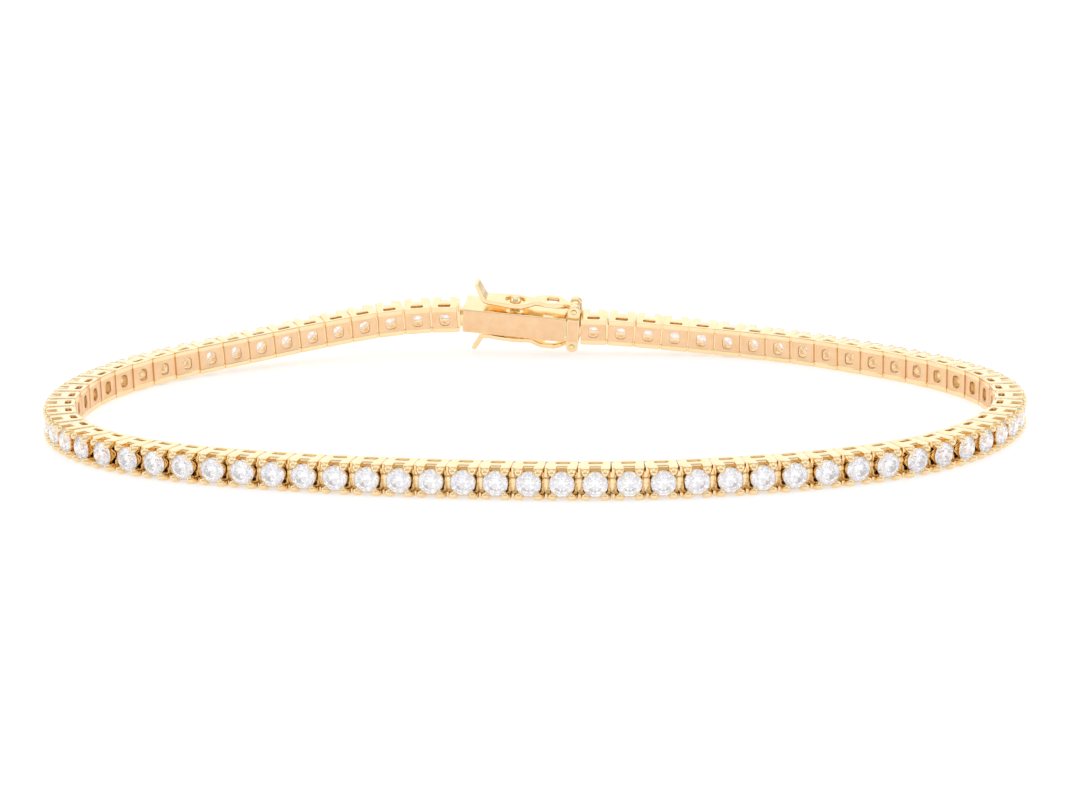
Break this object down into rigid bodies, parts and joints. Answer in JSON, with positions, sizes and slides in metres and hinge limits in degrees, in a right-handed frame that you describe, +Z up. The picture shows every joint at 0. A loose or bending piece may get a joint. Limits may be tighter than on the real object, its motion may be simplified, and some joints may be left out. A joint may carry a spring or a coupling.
{
  "type": "tennis bracelet",
  "caption": "Closed chain bracelet of square prong-set links with round brilliant stones, joined by a box clasp with hinged side safety catches.",
  "frame": {"origin": "middle of the bracelet's box, on the surface that it lies on", "axes": "+Z up from the surface across the band, +X along the loop's long way, -Y toward the front run of links, +Y toward the clasp"},
  "size_m": [0.073, 0.0464, 0.0064],
  "materials": {
    "gold": "polished pale yellow gold, with clear brilliant-cut stones in the chain"
  },
  "bodies": {
    "bracelet": {"chain_right": "gold", "chain_left": "gold", "clasp_box": "gold", "clasp_tongue": "gold", "catch_pin_upper": "gold", "catch_pin_lower": "gold"},
    "upper_catch": {"safety_catch_upper": "gold"},
    "lower_catch": {"safety_catch_lower": "gold"}
  },
  "joints": [
    {"name": "upper_catch_hinge", "type": "hinge", "parent": "bracelet", "child": "upper_catch", "pos_m": [0.00352, 0.02028, 0.00403], "axis": [0.1254, 0.9581, 0.2576], "range_deg": [0, 100]},
    {"name": "lower_catch_hinge", "type": "hinge", "parent": "bracelet", "child": "lower_catch", "pos_m": [0.00331, 0.02113, 0.00095], "axis": [-0.1254, -0.9581, -0.2576], "range_deg": [0, 100]}
  ]
}
